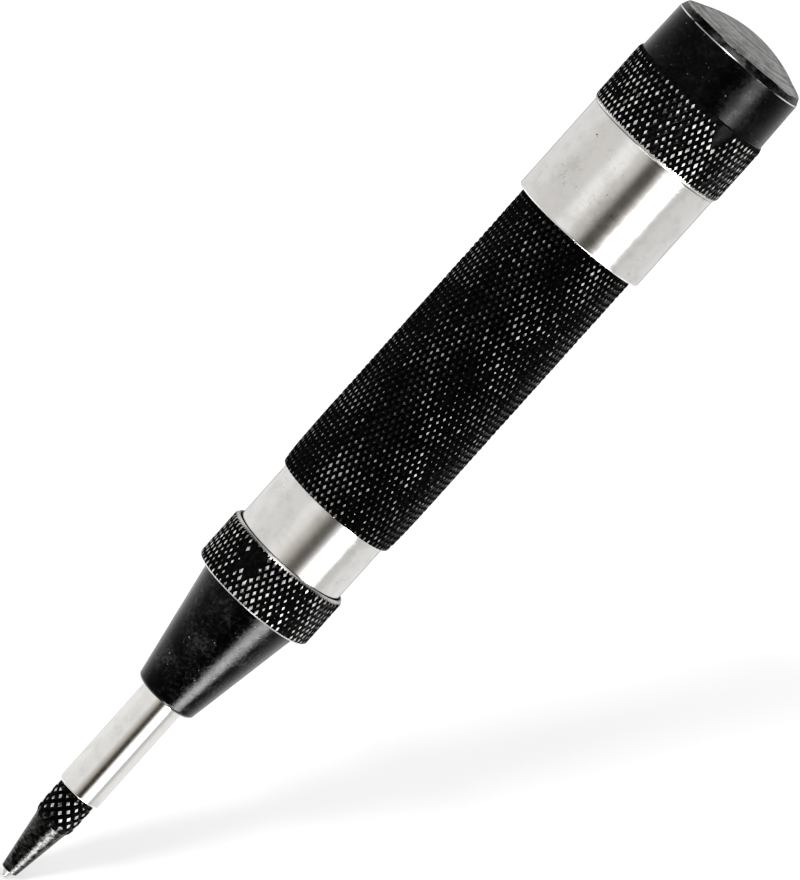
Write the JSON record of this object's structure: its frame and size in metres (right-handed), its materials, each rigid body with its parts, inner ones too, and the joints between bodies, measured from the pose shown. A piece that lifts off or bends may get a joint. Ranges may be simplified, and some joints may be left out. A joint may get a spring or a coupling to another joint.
{
  "type": "automatic center punch",
  "caption": "Spring-loaded automatic center punch: tapered point on a sliding plunger, conical nose, knurled grip sleeve and screw-down cap that sets the blow.",
  "frame": {"origin": "the tip of the point, on the tool's axis, with the plunger fully out", "axes": "+Z along the tool's axis from the tip to the crown of the cap; +X is the side that the latch slides to at rest, and nothing outside shows it"},
  "size_m": [0.0182, 0.0182, 0.13],
  "materials": {
    "point_steel": "dark hardened steel, ground bright at the tip",
    "polished_steel": "polished",
    "satin_nickel": "satin nickel plate, with fine turning marks",
    "black_oxide": "black oxide, oiled, lightly worn",
    "black_knurl": "black oxide diamond knurl with bright crests",
    "tool_steel": "ground",
    "bronze": "turned",
    "spring_steel": "oiled wire"
  },
  "bodies": {
    "barrel": {"barrel": "satin_nickel", "nose_piece": "black_oxide", "grip_sleeve": "black_knurl", "release_bush": "bronze", "main_spring": "spring_steel", "return_spring": "spring_steel"},
    "plunger": {"plunger": "polished_steel", "punch_point": "point_steel", "trip_pin": "tool_steel"},
    "hammer": {"hammer": "tool_steel", "latch_spring": "spring_steel"},
    "latch": {"latch_block": "tool_steel"},
    "spring_seat": {"spring_seat": "tool_steel"},
    "cap": {"adjusting_cap": "black_oxide", "cap_skirt": "satin_nickel"}
  },
  "joints": [
    {"name": "plunger_slide", "type": "slide", "parent": "barrel", "child": "plunger", "axis": [0, 0, 1], "range_m": [0, 0.01], "stiffness_N_per_m": 400, "springref_m": -0.01, "deforming": ["return_spring"]},
    {"name": "hammer_slide", "type": "slide", "parent": "barrel", "child": "hammer", "axis": [0, 0, 1], "range_m": [0, 0.01], "stiffness_N_per_m": 3000, "springref_m": -0.01, "deforming": ["main_spring"]},
    {"name": "latch_slide", "type": "slide", "parent": "hammer", "child": "latch", "axis": [-1, 0, 0], "range_m": [0, 0.001], "deforming": ["latch_spring"]},
    {"name": "cap_travel", "type": "slide", "parent": "barrel", "child": "spring_seat", "axis": [0, 0, 1], "range_m": [-0.003, 0.003]},
    {"name": "cap_turn", "type": "hinge", "parent": "spring_seat", "child": "cap", "pos_m": [0, 0, 0.1181], "axis": [0, 0, 1], "range_deg": [-1080, 1080]}
  ],
  "couplings": [
    {"joint": "hammer_slide", "follows": "plunger_slide", "ratio": 1},
    {"joint": "latch_slide", "follows": "plunger_slide", "ratio": 0.1},
    {"joint": "cap_turn", "follows": "cap_travel", "rad_per_m": 6283.2}
  ]
}
